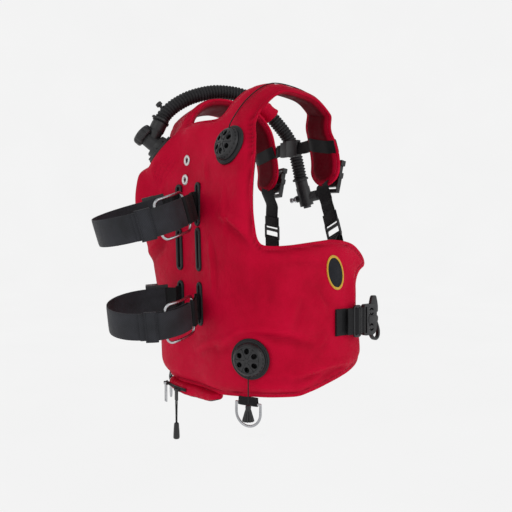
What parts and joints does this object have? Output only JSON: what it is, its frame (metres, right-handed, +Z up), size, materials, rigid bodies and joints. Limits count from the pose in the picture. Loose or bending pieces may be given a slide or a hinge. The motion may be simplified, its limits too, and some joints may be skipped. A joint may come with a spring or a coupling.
{
  "type": "buoyancy jacket with cylinder bands",
  "caption": "Padded buoyancy jacket worn as a back pack, holding an air cylinder in webbing bands, with dump valves, inflator hose, buckled straps and hip rings.",
  "frame": {"origin": "on the wearer's trunk axis at the height of the jacket's hem", "axes": "+Z up; the wearer faces -Y; +X is the wearer's left, +Y is behind the wearer"},
  "size_m": [0.4562, 0.5971, 0.743],
  "materials": {
    "red_fabric": "coated woven nylon",
    "black_padding": "padded mesh cloth",
    "black_webbing": "woven nylon webbing",
    "charcoal_webbing": "woven nylon webbing",
    "black_cord": "braided cord",
    "black_plastic": "moulded",
    "grey_plastic": "moulded",
    "dark_rubber": "matt",
    "steel": "polished stainless",
    "patch": "embroidered"
  },
  "bodies": {
    "jacket": {"jacket_back": "red_fabric", "right_lobe": "red_fabric", "left_lobe": "red_fabric", "right_shoulder_strap": "red_fabric", "left_shoulder_strap": "red_fabric", "hose_flap": "red_fabric", "back_pad": "black_padding", "back_plate": "black_plastic", "lumbar_pouch": "red_fabric", "slot_trims": "dark_rubber", "grommets": "steel", "oval_patch": "patch", "band_anchors": "charcoal_webbing", "upper_band_ring": "steel", "upper_band_strap": "charcoal_webbing", "lower_band_ring": "steel", "lower_band_strap": "charcoal_webbing", "band_keepers": "charcoal_webbing", "cam_frames": "black_plastic", "cam_pins": "steel", "hip_tabs": "black_webbing", "valve_gaskets": "dark_rubber", "valve_housings": "black_plastic", "valve_caps": "black_plastic", "lower_spring": "steel", "shoulder_spring": "steel", "shoulder_pull_cord": "black_cord", "elbow_flange": "black_plastic", "elbow_body": "black_plastic", "elbow_cap": "black_plastic", "inflator_hose": "dark_rubber", "hose_ties": "black_plastic", "inflator_body": "black_plastic", "mouthpiece": "dark_rubber", "lp_nipple": "steel", "sternum_web": "black_webbing", "sternum_female": "black_plastic", "shoulder_webs": "black_webbing", "shoulder_buckles": "black_plastic", "shoulder_adjusters": "black_plastic", "waist_tabs": "black_webbing", "zip_chain": "black_plastic"},
    "upper_cam_lever": {"upper_cam_lever": "black_plastic"},
    "lower_cam_lever": {"lower_cam_lever": "black_plastic"},
    "right_hip_ring": {"right_hip_ring": "steel"},
    "left_hip_ring": {"left_hip_ring": "steel"},
    "lower_pull": {"lower_pull_cord": "black_cord", "lower_pull_knob": "black_plastic"},
    "lower_poppet": {"lower_poppet": "dark_rubber"},
    "shoulder_pull": {"shoulder_pull_knob": "black_plastic"},
    "shoulder_poppet": {"shoulder_poppet": "dark_rubber"},
    "inflate_button": {"inflate_button": "grey_plastic"},
    "deflate_button": {"deflate_button": "grey_plastic"},
    "sternum_male": {"sternum_male": "black_plastic"},
    "right_waist": {"right_waist_strap": "black_webbing", "waist_male": "black_plastic"},
    "left_waist": {"left_waist_strap": "black_webbing", "waist_female": "black_plastic"},
    "zip_pull": {"zip_pull": "steel"},
    "zip_cord_puller": {"zip_cord_puller": "black_cord"}
  },
  "joints": [
    {"name": "upper_cam_swing", "type": "hinge", "parent": "jacket", "child": "upper_cam_lever", "pos_m": [0.07561, 0.20199, 0.35963], "axis": [0, 0.299, 0.9542], "range_deg": [0, 110]},
    {"name": "lower_cam_swing", "type": "hinge", "parent": "jacket", "child": "lower_cam_lever", "pos_m": [0.07354, 0.20119, 0.18478], "axis": [-0.1392, 0.172, 0.9752], "range_deg": [0, 110]},
    {"name": "right_hip_ring_swing", "type": "hinge", "parent": "jacket", "child": "right_hip_ring", "pos_m": [-0.14342, 0.12149, 0.00669], "axis": [-0.9271, -0.3747, 0], "range_deg": [-10, 60]},
    {"name": "left_hip_ring_swing", "type": "hinge", "parent": "jacket", "child": "left_hip_ring", "pos_m": [0.15292, 0.11718, 0.00666], "axis": [-0.8911, 0.4538, 0], "range_deg": [-10, 60]},
    {"name": "lower_pull_slide", "type": "slide", "parent": "jacket", "child": "lower_pull", "axis": [0, 0, -1], "range_m": [0, 0.012], "stiffness_N_per_m": 300},
    {"name": "lower_poppet_lift", "type": "slide", "parent": "jacket", "child": "lower_poppet", "axis": [0.4961, -0.8675, 0.0362], "range_m": [0, 0.004], "deforming": ["lower_spring"]},
    {"name": "shoulder_pull_slide", "type": "slide", "parent": "jacket", "child": "shoulder_pull", "axis": [0, 0, -1], "range_m": [0, 0.012], "stiffness_N_per_m": 300},
    {"name": "shoulder_poppet_lift", "type": "slide", "parent": "jacket", "child": "shoulder_poppet", "axis": [0.0474, -0.9582, -0.2823], "range_m": [0, 0.004], "deforming": ["shoulder_spring"]},
    {"name": "inflate_press", "type": "slide", "parent": "jacket", "child": "inflate_button", "axis": [-0.6904, 0.7163, -0.1015], "range_m": [0, 0.004], "stiffness_N_per_m": 900},
    {"name": "deflate_press", "type": "slide", "parent": "jacket", "child": "deflate_button", "axis": [0.1001, 0.2335, 0.9672], "range_m": [0, 0.005], "stiffness_N_per_m": 900},
    {"name": "sternum_release", "type": "slide", "parent": "jacket", "child": "sternum_male", "axis": [1, 0, 0], "range_m": [0, 0.0145]},
    {"name": "right_waist_swing", "type": "hinge", "parent": "jacket", "child": "right_waist", "pos_m": [-0.2242, -0.04838, 0.1509], "axis": [0, 0, 1], "range_deg": [-50, 3]},
    {"name": "left_waist_swing", "type": "hinge", "parent": "jacket", "child": "left_waist", "pos_m": [0.2242, -0.04838, 0.1509], "axis": [0, 0, 1], "range_deg": [-3, 50]},
    {"name": "zip_pull_swing", "type": "hinge", "parent": "jacket", "child": "zip_pull", "pos_m": [0.10854, 0.15369, 0.0038], "axis": [1, 0, 0], "range_deg": [-5, 80]},
    {"name": "zip_cord_swing", "type": "hinge", "parent": "jacket", "child": "zip_cord_puller", "pos_m": [0.05988, 0.15624, -0.00117], "axis": [1, 0, 0], "range_deg": [-5, 80]}
  ],
  "couplings": [
    {"joint": "lower_poppet_lift", "follows": "lower_pull_slide", "ratio": 0.33333},
    {"joint": "shoulder_poppet_lift", "follows": "shoulder_pull_slide", "ratio": 0.33333}
  ]
}
